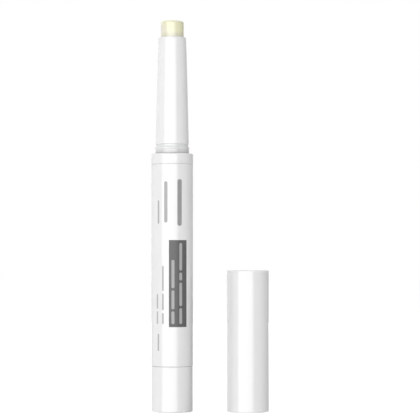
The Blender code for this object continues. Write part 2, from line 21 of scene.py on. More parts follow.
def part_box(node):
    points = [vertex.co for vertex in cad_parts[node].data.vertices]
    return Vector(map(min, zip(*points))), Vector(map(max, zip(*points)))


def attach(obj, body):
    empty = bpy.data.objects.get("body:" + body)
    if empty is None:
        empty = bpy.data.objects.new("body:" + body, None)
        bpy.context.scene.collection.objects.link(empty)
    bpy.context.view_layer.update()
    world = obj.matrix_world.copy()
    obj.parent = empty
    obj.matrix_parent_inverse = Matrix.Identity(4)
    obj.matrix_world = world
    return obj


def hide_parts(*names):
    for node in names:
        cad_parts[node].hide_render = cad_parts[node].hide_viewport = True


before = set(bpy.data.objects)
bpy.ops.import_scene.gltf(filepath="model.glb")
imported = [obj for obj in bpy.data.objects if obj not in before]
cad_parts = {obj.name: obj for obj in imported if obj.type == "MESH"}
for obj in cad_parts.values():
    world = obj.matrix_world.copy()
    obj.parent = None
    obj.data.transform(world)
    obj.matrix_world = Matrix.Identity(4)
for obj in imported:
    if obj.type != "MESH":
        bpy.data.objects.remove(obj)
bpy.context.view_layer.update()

Colour = tuple[float, float, float]

SHARP_ANGLE = radians(35)
NOISE_MIDDLE = 0.5

log = logging.getLogger("nail_care_pen")


def grey(level: float) -> Colour:
    """Return the neutral colour of a level."""
    return (level, level, level)


BLACK: Colour = grey(0.0)
WHITE: Colour = grey(1.0)


class Body(Enum):
    """The bodies that pieces ride on."""

    PEN = "pen"
    KNOB = "knob"
    CARRIER = "carrier"
    CAP = "cap"


class Slot(Enum):
    """The record's material slots."""

    GLOSS_WHITE = "gloss_white"
    NATURAL_PLASTIC = "natural_plastic"
    BALM_WAX = "balm_wax"
    SEAL_RUBBER = "seal_rubber"


class MixSocket(IntEnum):
    """The numbers of a Mix node's sockets when it mixes colours."""

    SHARE = 0
    FIRST = 6
    SECOND = 7
    RESULT = 2


class Wire:
    """A socket inside a shader, on which Python's arithmetic adds Math nodes."""

    def __init__(self, graph: "Graph", socket: bpy.types.NodeSocket) -> None:
        """Keep a socket and the graph that it belongs to."""
        self.graph = graph
        self.socket = socket

    def __add__(self, other: "Wire | float") -> "Wire":
        """Return this value plus another."""
        return self.graph.math("ADD", self, other)

    def __radd__(self, other: float) -> "Wire":
        """Return a number plus this value."""
        return self.graph.math("ADD", other, self)

    def __sub__(self, other: "Wire | float") -> "Wire":
        """Return this value less another."""
        return self.graph.math("SUBTRACT", self, other)

    def __rsub__(self, other: float) -> "Wire":
        """Return a number less this value."""
        return self.graph.math("SUBTRACT", other, self)

    def __mul__(self, other: "Wire | float") -> "Wire":
        """Return this value times another."""
        return self.graph.math("MULTIPLY", self, other)

    def __rmul__(self, other: float) -> "Wire":
        """Return a number times this value."""
        return self.graph.math("MULTIPLY", other, self)

    def __truediv__(self, other: "Wire | float") -> "Wire":
        """Return this value divided by another."""
        return self.graph.math("DIVIDE", self, other)

    def __rtruediv__(self, other: float) -> "Wire":
        """Return a number divided by this value."""
        return self.graph.math("DIVIDE", other, self)

    def __abs__(self) -> "Wire":
        """Return this value without its sign."""
        return self.graph.math("ABSOLUTE", self)

    def clamped(self) -> "Wire":
        """Return this value held between nothing and one."""
        return self.graph.math("ADD", self, 0.0, clamp=True)

    def at_least(self, other: "Wire | float") -> "Wire":
        """Return the larger of this value and another."""
        return self.graph.math("MAXIMUM", self, other)


Setting = Wire | float | int | tuple[float, ...]


class Graph:
    """The node tree of one finish, written as plain statements."""

    def __init__(self, tree: bpy.types.NodeTree) -> None:
        """Clear a node tree and take it over."""
        self.tree = tree
        self.tree.nodes.clear()

    def add(self, kind: str, settings: Mapping[str, object] | None = None,
            sockets: Mapping[str | int, Setting] | None = None,
            output: str | int = 0) -> Wire:
        """Add a node.

        Args:
            kind: The node's type.
            settings: Its settings, which are made before its sockets are filled.
            sockets: A value or a wire for each input that doesn't keep its default.
            output: The output that is wanted.

        Returns:
            That output, or the first input of a node that ends the tree.
        """
        node = self.tree.nodes.new(kind)
        for key, value in (settings or {}).items():
            setattr(node, key, value)
        for key, value in (sockets or {}).items():
            socket = node.inputs[key]
            if isinstance(value, Wire):
                self.tree.links.new(value.socket, socket)
            elif socket.type == "RGBA":
                socket.default_value = (*value, 1.0)
            else:
                socket.default_value = value
        return Wire(self, node.outputs[output] if node.outputs else node.inputs[0])

    def math(self, operation: str, *terms: Wire | float, clamp: bool = False) -> Wire:
        """Add a Math node on one, two or three terms.

        Args:
            operation: The node's operation.
            terms: What it works on.
            clamp: Whether the result is held between nothing and one.

        Returns:
            The result.
        """
        settings = {"operation": operation, "use_clamp": clamp}
        return self.add("ShaderNodeMath", settings, dict(enumerate(terms)))

    def blend(self, share: Wire | float, first: Wire | Colour,
              second: Wire | Colour) -> Wire:
        """Mix two colours.

        Args:
            share: How much of the second colour shows.
            first: The colour at a share of nothing.
            second: The colour at a share of one.

        Returns:
            The mixed colour.
        """
        sockets = {MixSocket.SHARE: share, MixSocket.FIRST: first,
                   MixSocket.SECOND: second}
        return self.add("ShaderNodeMix", {"data_type": "RGBA"}, sockets,
                        output=MixSocket.RESULT)

    def place(self) -> Wire:
        """Return the point being shaded, in metres in the piece's own frame."""
        return self.add("ShaderNodeTexCoord", output="Object")

    def stretched(self, point: Wire, factors: tuple[float, float, float]) -> Wire:
        """Return a point with each of its coordinates scaled by itself."""
        return self.add("ShaderNodeVectorMath", {"operation": "MULTIPLY"},
                        {0: point, 1: factors})

    def axis(self, point: Wire, name: str) -> Wire:
        """Return one coordinate, named X, Y or Z, of a point."""
        return self.add("ShaderNodeSeparateXYZ", sockets={0: point}, output=name)

    def distance(self, point: Wire) -> Wire:
        """Return how far a point lies from the piece's origin."""
        return self.add("ShaderNodeVectorMath", {"operation": "LENGTH"}, {0: point},
                        output="Value")

    def noise(self, point: Wire, size: float, detail: float = 2.0) -> Wire:
        """Return a noise from nothing to one.

        Args:
            point: Where it is read.
            size: The length of one of its waves, in metres.
            detail: How many finer waves lie on it.

        Returns:
            The noise.
        """
        return self.add("ShaderNodeTexNoise",
                        sockets={"Vector": point, "Scale": 1 / size, "Detail": detail})

    def bump(self, height: Wire, depth: float, under: Wire | None = None) -> Wire:
        """Turn a relief into a normal.

        Args:
            height: The relief, from nothing to one.
            depth: How high one stands, in metres.
            under: A normal that it lies on.

        Returns:
            The new normal.
        """
        sockets: dict[str | int, Setting] = {"Distance": depth, "Height": height}
        if under:
            sockets["Normal"] = under
        return self.add("ShaderNodeBump", sockets=sockets)


class Finish(ABC):
    """What a piece is made of, as a material that dresses it."""

    name: str
    colour: Colour
    slot: Slot | None

    @abstractmethod
    def shader(self, graph: Graph) -> Wire:
        """Write the finish into a graph.

        Args:
            graph: The graph.

        Returns:
            The shader that closes it.
        """

    def material(self) -> bpy.types.Material:
        """Make the finish's material, the first time that it is asked for.

        Returns:
            The material.
        """
        made = bpy.data.materials.get(self.name)
        if made is None:
            made = bpy.data.materials.new(self.name)
            made.use_nodes = True
            made.diffuse_color = (*self.colour, 1.0)
            graph = Graph(made.node_tree)
            graph.add("ShaderNodeOutputMaterial", sockets={"Surface": self.shader(graph)})
        return made

    def dress(self, piece: bpy.types.Object) -> None:
        """Put the finish on every face of a piece.

        Args:
            piece: The piece, which is new or one of the model's.
        """
        if piece.data.materials:
            for holder in piece.material_slots:
                holder.link = "OBJECT"
                holder.material = self.material()
        else:
            piece.data.materials.append(self.material())


def near(height: Wire, levels: Sequence[float], reach: float) -> Wire | float:
    """Mask a piece at some levels.

    Args:
        height: The height being shaded.
        levels: The heights at which the mask is one.
        reach: How far above and below them it has faded to nothing.

    Returns:
        The mask, which is nothing everywhere if there are no levels.
    """
    mask: Wire | float = 0.0
    for level in levels:
        mask = (1 - abs(height - level) / reach).clamped().at_least(mask)
    return mask


@dataclass(frozen=True)
class GlossMoulding(Finish):
    """Polished white moulding with flow clouds, orange peel, hairlines, rubbed rims and
    painted shade along its seams.
    """

    name: str
    radius: float
    rims: tuple[float, ...] = ()
    seams: tuple[float, ...] = ()
    colour: Colour = grey(0.875)
    cloud_colour: Colour = grey(0.856)
    cloud_size: float = 0.011
    flow_stretch: float = 0.3
    roughness: float = 0.19
    roughness_swing: float = 0.04
    ior: float = 1.55
    specular: float = 0.8
    rim_reach: float = 0.0006
    rim_roughness: float = 0.16
    rub_size: float = 0.0009
    # The painted shade along the seams: how far it reaches and how dark it is.
    painted_shade_reach: float = 0.00012
    painted_shade_colour: Colour = (0.6, 0.6, 0.595)
    peel_size: float = 0.0016
    peel_depth: float = 0.0000012
    hairline_leans: tuple[float, float] = (2.6, -3.4)
    hairline_squeeze: float = 9.0
    hairline_size: float = 0.0045
    hairline_sharpness: float = 55.0
    hairline_depth: float = 0.0000008
    slot: Slot | None = Slot.GLOSS_WHITE

    def hairlines(self, graph: Graph, point: Wire) -> Wire:
        """Scratch the surface finely, as handling does, in lines that lean two ways.

        Args:
            graph: The graph that they are written into.
            point: The point being shaded.

        Returns:
            The mask of the scratches.
        """
        lines = []
        for lean in self.hairline_leans:
            slanted = graph.add("ShaderNodeVectorRotate", {"rotation_type": "X_AXIS"},
                                {"Vector": point, "Angle": lean})
            squeezed = graph.stretched(slanted, (1, 1, self.hairline_squeeze))
            waves = graph.noise(squeezed, self.hairline_size, detail=3)
            off = abs(waves - NOISE_MIDDLE)
            lines.append((1 - off * self.hairline_sharpness).clamped())
        return lines[0].at_least(lines[1])

    def shader(self, graph: Graph) -> Wire:
        """Write the polished moulding.

        Args:
            graph: The graph that it is written into.

        Returns:
            Its shader.
        """
        point = graph.place()
        height = graph.axis(point, "Z")
        flow = graph.stretched(point, (1, 1, self.flow_stretch))
        clouds = graph.noise(flow, self.cloud_size, detail=3)
        handled = graph.noise(point, self.cloud_size, detail=1)
        scratches = self.hairlines(graph, point) * handled
        patches = graph.noise(point, self.rub_size, detail=3)
        inside = self.radius - graph.distance(graph.stretched(point, (1, 1, 0)))
        rubbed = (near(height, self.rims, self.rim_reach) * patches
                  * (1 - inside / self.rim_reach).clamped())
        # Painted shade: the colour darkens at the seams, as shade falls into the gap
        # between two parts.
        seam_shade = near(height, self.seams, self.painted_shade_reach)
        swing = (clouds - NOISE_MIDDLE) * self.roughness_swing
        roughness = (self.roughness + swing + scratches * self.roughness_swing
                     + rubbed * self.rim_roughness)
        colour = graph.blend(clouds, self.colour, self.cloud_colour)
        peel = graph.bump(graph.noise(point, self.peel_size), self.peel_depth)
        return graph.add("ShaderNodeBsdfPrincipled", sockets={
            "Base Color": graph.blend(seam_shade, colour, self.painted_shade_colour),
            "Roughness": roughness,
            "IOR": self.ior,
            "Specular IOR Level": self.specular,
            "Normal": graph.bump(scratches, self.hairline_depth, peel)})


@dataclass(frozen=True)
class CloudyMoulding(Finish):
    """Undyed moulding: slightly see-through, with a seam where its mould parts, and painted
    shade towards a foot where one is given.
    """

    name: str = "cloudy_moulding"
    colour: Colour = (0.79, 0.795, 0.795)
    cloud_colour: Colour = (0.75, 0.76, 0.765)
    cloud_size: float = 0.004
    roughness: float = 0.40
    roughness_swing: float = 0.08
    specular: float = 0.5
    # Painted shade: the colour darkens towards this foot, over the reach below, where the
    # piece stands in the next one.
    painted_shade_foot: float | None = None
    painted_shade_reach: float = 0.0013
    painted_shade_colour: Colour = (0.55, 0.55, 0.545)
    grain_size: float = 0.0005
    grain_depth: float = 0.0000015
    parting_width: float = 0.00006
    parting_depth: float = 0.000015
    glow: float = 0.15
    glow_tint: Colour = WHITE
    glow_reach: float = 0.0008
    slot: Slot | None = Slot.NATURAL_PLASTIC

    def shader(self, graph: Graph) -> Wire:
        """Write the undyed moulding.

        Args:
            graph: The graph that it is written into.

        Returns:
            Its shader.
        """
        point = graph.place()
        clouds = graph.noise(point, self.cloud_size, detail=3)
        parting = (1 - abs(graph.axis(point, "Y")) / self.parting_width).clamped()
        grains = graph.noise(point, self.grain_size, detail=3)
        grain = graph.bump(grains, self.grain_depth)
        colour = graph.blend(clouds, self.colour, self.cloud_colour)
        # Painted shade: darker towards the foot, where the neck stands in the collar.
        if self.painted_shade_foot is not None:
            rise = (graph.axis(point, "Z") - self.painted_shade_foot) / self.painted_shade_reach
            colour = graph.blend((1 - rise).clamped(), colour, self.painted_shade_colour)
        return graph.add("ShaderNodeBsdfPrincipled", sockets={
            "Base Color": colour,
            "Roughness": self.roughness + (clouds - NOISE_MIDDLE) * self.roughness_swing,
            "Specular IOR Level": self.specular,
            "Subsurface Weight": self.glow,
            "Subsurface Radius": self.glow_tint,
            "Subsurface Scale": self.glow_reach,
            "Normal": graph.bump(parting, self.parting_depth, grain)})


@dataclass(frozen=True)
class BalmWax(Finish):
    """Pale cream balm: soft, waxy, a little uneven in colour, with small casting pits and a
    band of painted shade at the nose's mouth.
    """

    name: str = "cream_balm"
    colour: Colour = (0.85, 0.835, 0.59)
    deep_colour: Colour = (0.83, 0.81, 0.53)
    # Painted shade: a darker band about the height of the nose's mouth at rest, where the
    # balm leaves the nose.
    mouth_shade_foot: float = 0.1073
    mouth_shade_reach: float = 0.0014
    mouth_shade_colour: Colour = (0.68, 0.665, 0.52)
    smudge_place: tuple[float, float, float] = (-0.0028, -0.0018, 0.1090)
    smudge_reach: float = 0.0026
    smudge_colour: Colour = (0.80, 0.75, 0.67)
    cloud_size: float = 0.0016
    roughness: float = 0.22
    roughness_swing: float = 0.12
    specular: float = 1.0
    ripple_size: float = 0.0009
    ripple_depth: float = 0.000009
    pit_size: float = 0.00055
    pit_reach: float = 0.16
    pit_depth: float = 0.000016
    glow: float = 0.06
    glow_tint: Colour = (1.0, 0.9, 0.5)
    glow_reach: float = 0.0012
    slot: Slot | None = Slot.BALM_WAX

    def shader(self, graph: Graph) -> Wire:
        """Write the balm.

        Args:
            graph: The graph that it is written into.

        Returns:
            Its shader.
        """
        point = graph.place()
        clouds = graph.noise(point, self.cloud_size, detail=4)
        cells = graph.add("ShaderNodeTexVoronoi",
                          sockets={"Vector": point, "Scale": 1 / self.pit_size})
        pits = (1 - cells / self.pit_reach).clamped()
        ripples = graph.noise(point, self.ripple_size, detail=4)
        relief = graph.bump(ripples, self.ripple_depth)
        # Painted shade: the band about the nose's mouth, carried into the base colour
        # below.
        rise = (graph.axis(point, "Z") - self.mouth_shade_foot) / self.mouth_shade_reach
        wax = graph.blend(clouds, self.colour, self.deep_colour)
        off = graph.add("ShaderNodeVectorMath", {"operation": "SUBTRACT"},
                        {0: point, 1: self.smudge_place})
        smudge = ((1 - graph.distance(off) / self.smudge_reach).clamped()
                  * (ripples + NOISE_MIDDLE))
        wax = graph.blend(smudge.clamped(), wax, self.smudge_colour)
        return graph.add("ShaderNodeBsdfPrincipled", sockets={
            "Base Color": graph.blend((1 - abs(rise)).clamped(), wax, self.mouth_shade_colour),
            "Roughness": self.roughness + (ripples - NOISE_MIDDLE) * self.roughness_swing,
            "Specular IOR Level": self.specular,
            "Subsurface Weight": self.glow,
            "Subsurface Radius": self.glow_tint,
            "Subsurface Scale": self.glow_reach,
            "Normal": graph.bump(1 - pits, self.pit_depth, relief)})


@dataclass(frozen=True)
class SealRubber(Finish):
    """Soft grey seal rubber, matt, with a fine bloom."""

    name: str = "grey_seal"
    colour: Colour = (0.33, 0.34, 0.35)
    bloom_colour: Colour = (0.42, 0.43, 0.44)
    bloom_size: float = 0.0008
    roughness: float = 0.62
    roughness_swing: float = 0.1
    grain_size: float = 0.00012
    grain_depth: float = 0.000004
    slot: Slot | None = Slot.SEAL_RUBBER

    def shader(self, graph: Graph) -> Wire:
        """Write the rubber.

        Args:
            graph: The graph that it is written into.

        Returns:
            Its shader.
        """
        point = graph.place()
        bloom = graph.noise(point, self.bloom_size, detail=3)
        grain = graph.noise(point, self.grain_size)
        return graph.add("ShaderNodeBsdfPrincipled", sockets={
            "Base Color": graph.blend(bloom, self.colour, self.bloom_colour),
            "Roughness": self.roughness + bloom * self.roughness_swing,
            "Normal": graph.bump(grain, self.grain_depth)})


@dataclass(frozen=True)
class PrintInk(Finish):
    """Screen-printed ink, satin, with the mesh's faint print grain."""

    name: str
    colour: Colour
    thin_share: float = 0.06
    mesh_size: float = 0.00011
    patch_size: float = 0.0021
    roughness: float = 0.38
    roughness_swing: float = 0.1
    mesh_depth: float = 0.0000015
    slot: Slot | None = None

    def shader(self, graph: Graph) -> Wire:
        """Write the ink.

        Args:
            graph: The graph that it is written into.

        Returns:
            Its shader.
        """
        point = graph.place()
        mesh = graph.noise(point, self.mesh_size, detail=1)
        patches = graph.noise(point, self.patch_size)
        thin = tuple(part + (1 - part) * self.thin_share for part in self.colour)
        return graph.add("ShaderNodeBsdfPrincipled", sockets={
            "Base Color": graph.blend(mesh * patches, self.colour, thin),
            "Roughness": self.roughness + (patches - NOISE_MIDDLE) * self.roughness_swing,
            "Normal": graph.bump(mesh, self.mesh_depth)})


@dataclass(frozen=True)
class StudioPaper(Finish):
    """White background paper that shows white to the camera and still takes a shadow."""

    name: str = "studio_paper"
    colour: Colour = grey(0.80)
    fibre_colour: Colour = grey(0.785)
    fibre_size: float = 0.002
    near_glow: Colour = grey(0.6)
    far_glow: Colour = grey(0.87)
    glow_reach: float = 0.2
    slot: Slot | None = None

    def shader(self, graph: Graph) -> Wire:
        """Write the paper.

        Args:
            graph: The graph that it is written into.

        Returns:
            Its shader.
        """
        point = graph.place()
        fibres = graph.noise(point, self.fibre_size, detail=3)
        paper = graph.add("ShaderNodeBsdfDiffuse", sockets={
            "Color": graph.blend(fibres, self.colour, self.fibre_colour)})
        way = graph.distance(point) / self.glow_reach
        glow = graph.blend(1 / (1 + way * way), self.far_glow, self.near_glow)
        light = graph.add("ShaderNodeEmission", sockets={
            "Color": graph.blend(seen_directly(graph), BLACK, glow)})
        return graph.add("ShaderNodeAddShader", sockets={0: paper, 1: light})


def seen_directly(graph: Graph) -> Wire:
    """Return the mask of rays from the camera, straight, mirrored or through something.

    Args:
        graph: The graph that asks.

    Returns:
        One on such rays and nothing on those that only gather light.
    """
    rays = [graph.add("ShaderNodeLightPath", output=name)
            for name in ("Is Camera Ray", "Is Glossy Ray", "Is Transmission Ray")]
    return rays[0].at_least(rays[1]).at_least(rays[2])


@dataclass(frozen=True)
class Corner:
    """One corner of a turned outline, and the radius that rounds it."""

    radius: float
    height: float
    fillet: float = 0.0

    @property
    def point(self) -> Vector:
        """The corner's place in the outline's plane."""
        return Vector((self.radius, self.height))


@dataclass(frozen=True)
class Turning:
    """A turned piece's outline, and how finely it is cut."""

    corners: tuple[Corner, ...]
    facets: int = 144
    arc_steps: int = 6
    hold: float = 0.00005
    weld: float = 0.0000005

    def arc(self, before: Vector, corner: Corner, after: Vector) -> list[Vector]:
        """Return the points that round one corner, with a held point on either side.

        The held points keep the shading of the straight runs flat up to the arc.

        Args:
            before: The corner that comes before.
            corner: The corner to round.
            after: The corner that comes next.

        Returns:
            The points, in the outline's order.
        """
        to_before = (before - corner.point).normalized()
        to_after = (after - corner.point).normalized()
        half_angle = to_before.angle(to_after) / 2
        setback = corner.fillet * cos(half_angle) / sin(half_angle)
        bisector = (to_before + to_after).normalized()
        centre = corner.point + bisector * corner.fillet / sin(half_angle)
        start = (corner.point + to_before * setback - centre).normalized()
        end = (corner.point + to_after * setback - centre).normalized()
        points = [corner.point + to_before * (setback + self.hold)]
        for step in range(self.arc_steps + 1):
            points.append(centre + start.slerp(end, step / self.arc_steps) * corner.fillet)
        points.append(corner.point + to_after * (setback + self.hold))
        return points

    def points(self) -> list[Vector]:
        """Round the corners that have a fillet.

        Returns:
            The whole outline.
        """
        found = []
        for index, corner in enumerate(self.corners):
            if corner.fillet:
                before = self.corners[index - 1].point
                after = self.corners[(index + 1) % len(self.corners)].point
                found.extend(self.arc(before, corner, after))
            else:
                found.append(corner.point)
        return found

    def mesh(self, name: str) -> bpy.types.Mesh:
        """Turn the outline about Z.

        Args:
            name: The mesh's name.

        Returns:
            The turned mesh, closed, smooth, and sharp where its outline turns sharply.
        """
        builder = bmesh.new()
        verts = [builder.verts.new((point.x, 0, point.y)) for point in self.points()]
        edges = [builder.edges.new(pair) for pair in zip(verts, verts[1:])]
        if self.corners[0].radius or self.corners[-1].radius:
            edges.append(builder.edges.new((verts[-1], verts[0])))
        bmesh.ops.spin(builder, geom=verts + edges, cent=(0, 0, 0), axis=(0, 0, 1),
                       angle=tau, steps=self.facets)
        bmesh.ops.remove_doubles(builder, verts=builder.verts, dist=self.weld)
        bmesh.ops.recalc_face_normals(builder, faces=builder.faces)
        return finished_mesh(name, builder)


def finished_mesh(name: str, builder: bmesh.types.BMesh) -> bpy.types.Mesh:
    """Store a finished bmesh as a smooth mesh with its sharp edges marked.

    Args:
        name: The mesh's name.
        builder: The bmesh, which is freed.

    Returns:
        The mesh.
    """
    mesh = bpy.data.meshes.new(name)
    builder.to_mesh(mesh)
    builder.free()
    mesh.shade_smooth()
    mesh.set_sharp_from_angle(angle=SHARP_ANGLE)
    return mesh


@dataclass(frozen=True)
class Span:
    """How wide and how high a node of the model is, and where its axis stands."""

    radius: float
    foot: float
    head: float
    axis: float

    @classmethod
    def of(cls, node: str) -> "Span":
        """Measure a node of the model."""
        low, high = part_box(node)
        return cls((high.x - low.x) / 2, low.z, high.z, (high.x + low.x) / 2)


class Assembly(ABC):
    """A group of pieces that ride on one body."""

    body: Body

    @abstractmethod
    def build(self) -> None:
        """Build and dress the whole group."""

    def place(self, name: str, mesh: bpy.types.Mesh, finish: Finish,
              replaced: Sequence[str] = (), axis: float = 0.0) -> None:
        """Add a piece to the scene, dress it, and set it on the group's body.

        Args:
            name: The piece's name.
            mesh: Its mesh, about its own axis.
            finish: What it is made of.
            replaced: The model's nodes that it stands for.
            axis: How far along X its axis stands.
        """
        piece = bpy.data.objects.new(name, mesh)
        piece.location.x = axis
        bpy.context.scene.collection.objects.link(piece)
        finish.dress(piece)
        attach(piece, self.body.value)
        if replaced:
            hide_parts(*replaced)
        log.info("%s: %d faces, %s", name, len(mesh.polygons), finish.name)

    def dress_nodes(self, nodes: Sequence[str], finish: Finish) -> None:
        """Dress pieces that stay as the model has them.

        Args:
            nodes: The nodes' names.
            finish: What they are made of.
        """
        for node in nodes:
            finish.dress(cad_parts[node])
            log.info("%s: as modelled, %s", node, finish.name)


@dataclass
class PenBody(Assembly):
    """The fixed shells of the pen: barrel, collar, nose sleeve and guide tube."""

    film_room: float = 0.00002
    seam_reach: float = 0.00004
    seam_fillet: float = 0.00002
    nose_reach: float = 0.00009
    barrel_bore: float = 0.0053
    collar_bore: float = 0.00455
    collar_top_fillet: float = 0.0004
    spigot_radius: float = 0.00515
    spigot_length: float = 0.004
    neck_radius: float = 0.00481
    bead_radius: float = 0.00487
    bead_rise: float = 0.0015
    bead_length: float = 0.0008
    bead_crest: float = 0.0004
    groove_radius: float = 0.0046
    neck_edge: float = 0.00006
    neck_roughness: float = 0.24
    neck_specular: float = 1.0
    guide_radius: float = 0.0044
    guide_bore: float = 0.0035
    stub_radius: float = 0.00395
    stub_length: float = 0.009
    slot_reach: float = 0.0132
    slot_width: float = 0.002
    slot_head: float = 0.06072
    nose_seat_radius: float = 0.0041
    nose_seat_gap: float = 0.00015
    nose_tip_radius: float = 0.00394
    nose_bore: float = 0.003375
    nose_bulge: float = 0.00006
    nose_stations: int = 12
    nose_lip_fillet: float = 0.00038
    nose_mouth_fillet: float = 0.0001
    body = Body.PEN

    def build(self) -> None:
        """Build the shells from the barrel up to the nose."""
        self.build_barrel()
        self.build_collar()
        self.build_guide_tube()
        self.build_nose()
        self.dress_nodes(["bearing_sleeve"], CloudyMoulding())

    def build_barrel(self) -> None:
        """Build the barrel, one film of ink slimmer than the collar."""
        span = Span.of("barrel")
        radius = span.radius - self.film_room
        foot = span.foot - self.seam_reach
        head = span.head + self.seam_reach
        outline = Turning((
            Corner(radius, head, self.seam_fillet),
            Corner(radius, foot, self.seam_fillet),
            Corner(self.barrel_bore, foot),
            Corner(self.barrel_bore, head)))
        ends = (foot, head)
        finish = GlossMoulding("barrel_gloss", radius, rims=ends, seams=(foot,))
        self.place("barrel_shell", outline.mesh("barrel_shell"), finish, ["barrel"])

    def build_collar(self) -> None:
        """Build the collar ring, whose spigot closes the barrel."""
        span = Span.of("collar")
        foot = span.foot + self.spigot_length - self.seam_reach
        outline = Turning((
            Corner(span.radius, span.head, self.collar_top_fillet),
            Corner(span.radius, foot, self.seam_fillet),
            Corner(self.spigot_radius, foot),
            Corner(self.spigot_radius, span.foot, self.seam_fillet),
            Corner(self.collar_bore, span.foot),
            Corner(self.collar_bore, span.head, self.seam_fillet)))
        finish = GlossMoulding("collar_gloss", span.radius, rims=(foot, span.head),
                               seams=(foot,))
        self.place("collar_ring", outline.mesh("collar_ring"), finish, ["collar"])

    def build_guide_tube(self) -> None:
        """Build the guide tube, with its neck, snap bead, groove and the nut's slots."""
        span = Span.of("guide_tube")
        neck_head = span.head - self.stub_length
        seam = Span.of("nose_sleeve").foot - neck_head
        neck_foot = Span.of("collar").head + seam
        bead = neck_foot + self.bead_rise
        outline = Turning((
            Corner(self.guide_bore, span.foot),
            Corner(self.guide_radius, span.foot),
            Corner(self.guide_radius, neck_foot),
            Corner(self.neck_radius, neck_foot, self.neck_edge),
            Corner(self.neck_radius, bead - self.bead_length / 2, self.neck_edge),
            Corner(self.bead_radius, bead - self.bead_crest / 2, self.neck_edge),
            Corner(self.bead_radius, bead + self.bead_crest / 2, self.neck_edge),
            Corner(self.groove_radius, bead + self.bead_length / 2, self.neck_edge),
            Corner(self.groove_radius, neck_head),
            Corner(self.stub_radius, neck_head),
            Corner(self.stub_radius, span.head),
            Corner(self.guide_bore, span.head)))
        mesh = outline.mesh("guide_neck")
        slot_foot = span.foot - self.slot_width
        slot = (self.slot_reach, self.slot_width, self.slot_head - slot_foot)
        cut_slot(mesh, slot, (0, 0, (self.slot_head + slot_foot) / 2))
        # The neck's finish paints shade that darkens it towards the collar's top.
        finish = CloudyMoulding("neck_moulding", roughness=self.neck_roughness,
                                specular=self.neck_specular, painted_shade_foot=neck_foot)
        self.place("guide_neck", mesh, finish, ["guide_tube"])

    def nose_radius(self, rise: float, span: Span) -> float:
        """Find how far out the nose is: a straight taper under a shallow parabola.

        Args:
            rise: How far above the nose's base.
            span: The nose's own sizes.

        Returns:
            The radius there.
        """
        share = rise / (span.head - span.foot)
        taper = span.radius + (self.nose_tip_radius - span.radius) * share
        return taper + self.nose_bulge * 4 * share * (1 - share)

    def build_nose(self) -> None:
        """Build the tapered nose sleeve, down over the guide tube's stub."""
        span = Span.of("nose_sleeve")
        length = span.head - span.foot
        seat = span.foot + self.stub_length + self.nose_seat_gap
        foot = span.foot - self.nose_reach
        corners = [Corner(self.nose_seat_radius, foot),
                   Corner(self.nose_radius(0, span), foot, self.seam_fillet)]
        for station in range(1, self.nose_stations):
            rise = length * station / self.nose_stations
            corners.append(Corner(self.nose_radius(rise, span), span.foot + rise))
        corners += [Corner(self.nose_tip_radius, span.head, self.nose_lip_fillet),
                    Corner(self.nose_bore, span.head, self.nose_mouth_fillet),
                    Corner(self.nose_bore, seat),
                    Corner(self.nose_seat_radius, seat)]
        finish = GlossMoulding("nose_gloss", self.nose_tip_radius, rims=(foot, span.head))
        mesh = Turning(tuple(corners)).mesh("nose_shell")
        self.place("nose_shell", mesh, finish, ["nose_sleeve"])


def cut_slot(mesh: bpy.types.Mesh, size: Sequence[float], centre: Sequence[float]) -> None:
    """Cut a slot right through a mesh.

    Args:
        mesh: The mesh, which is changed.
        size: The slot's size along X, Y and Z.
        centre: Its middle.
    """
    builder = bmesh.new()
    bmesh.ops.create_cube(builder, size=1)
    bmesh.ops.scale(builder, vec=size, verts=builder.verts)
    bmesh.ops.translate(builder, vec=centre, verts=builder.verts)
    tool = bpy.data.objects.new("slot_tool", finished_mesh("slot_tool", builder))
    piece = bpy.data.objects.new("slotted", mesh)
    for item in (tool, piece):
        bpy.context.scene.collection.objects.link(item)
    cut = piece.modifiers.new("slot", "BOOLEAN")
    cut.operation = "DIFFERENCE"
    cut.solver = "EXACT"
    cut.object = tool
    result = bmesh.new()
    result.from_object(piece, bpy.context.evaluated_depsgraph_get())
    result.to_mesh(mesh)
    result.free()
    for item in (tool, piece):
        bpy.data.objects.remove(item)


@dataclass(frozen=True)
class PrintedBar:
    """One bar of ink that runs along the barrel."""

    turn: float
    head: float
    foot: float
    width: float
    rounding: float = 0.0

    def rows(self, steps: int) -> list[tuple[float, float]]:
        """Return the height and half width of each row of the bar, from its foot up.

        Args:
            steps: How many steps round each end.

        Returns:
            The rows.
        """
        half = self.width / 2
        if not self.rounding:
            return [(self.foot, half), (self.head, half)]
        ends = []
        for step in range(steps + 1):
            angle = pi / 2 * step / steps
            inset = self.rounding * (1 - cos(angle))
            ends.append((inset, half - self.rounding * (1 - sin(angle))))
        lower = [(self.foot + inset, wide) for inset, wide in ends]
        upper = [(self.head - inset, wide) for inset, wide in reversed(ends)]
        return lower + upper


class Rhythm(Enum):
    """How a line of bars is broken, as the lengths of its bars."""

    SINGLE = (1,)
    PAIR = (7, 6)
    TRIO = (9, 6, 4)
    QUARTET = (7, 2, 6, 4)


@dataclass(frozen=True)
class PrintedLine:
    """A line of bars of ink along the barrel."""

    turn_degrees: float
    head: float
    foot: float
    width: float
    rhythm: Rhythm = Rhythm.SINGLE
    gap_share: float = 1.5
    rounding_share: float = 0.42

    def bars(self) -> list[PrintedBar]:
        """Break the line into its bars.

        Returns:
            The bars, from the line's head down.
        """
        parts = self.rhythm.value
        turn = radians(self.turn_degrees)
        gap = self.width * self.gap_share
        rounding = self.width * self.rounding_share
        unit = (self.head - self.foot - gap * (len(parts) - 1)) / sum(parts)
        found = []
        top = self.head
        for part in parts:
            foot = top - unit * part
            found.append(PrintedBar(turn, top, foot, self.width, rounding))
            top = foot - gap
        return found


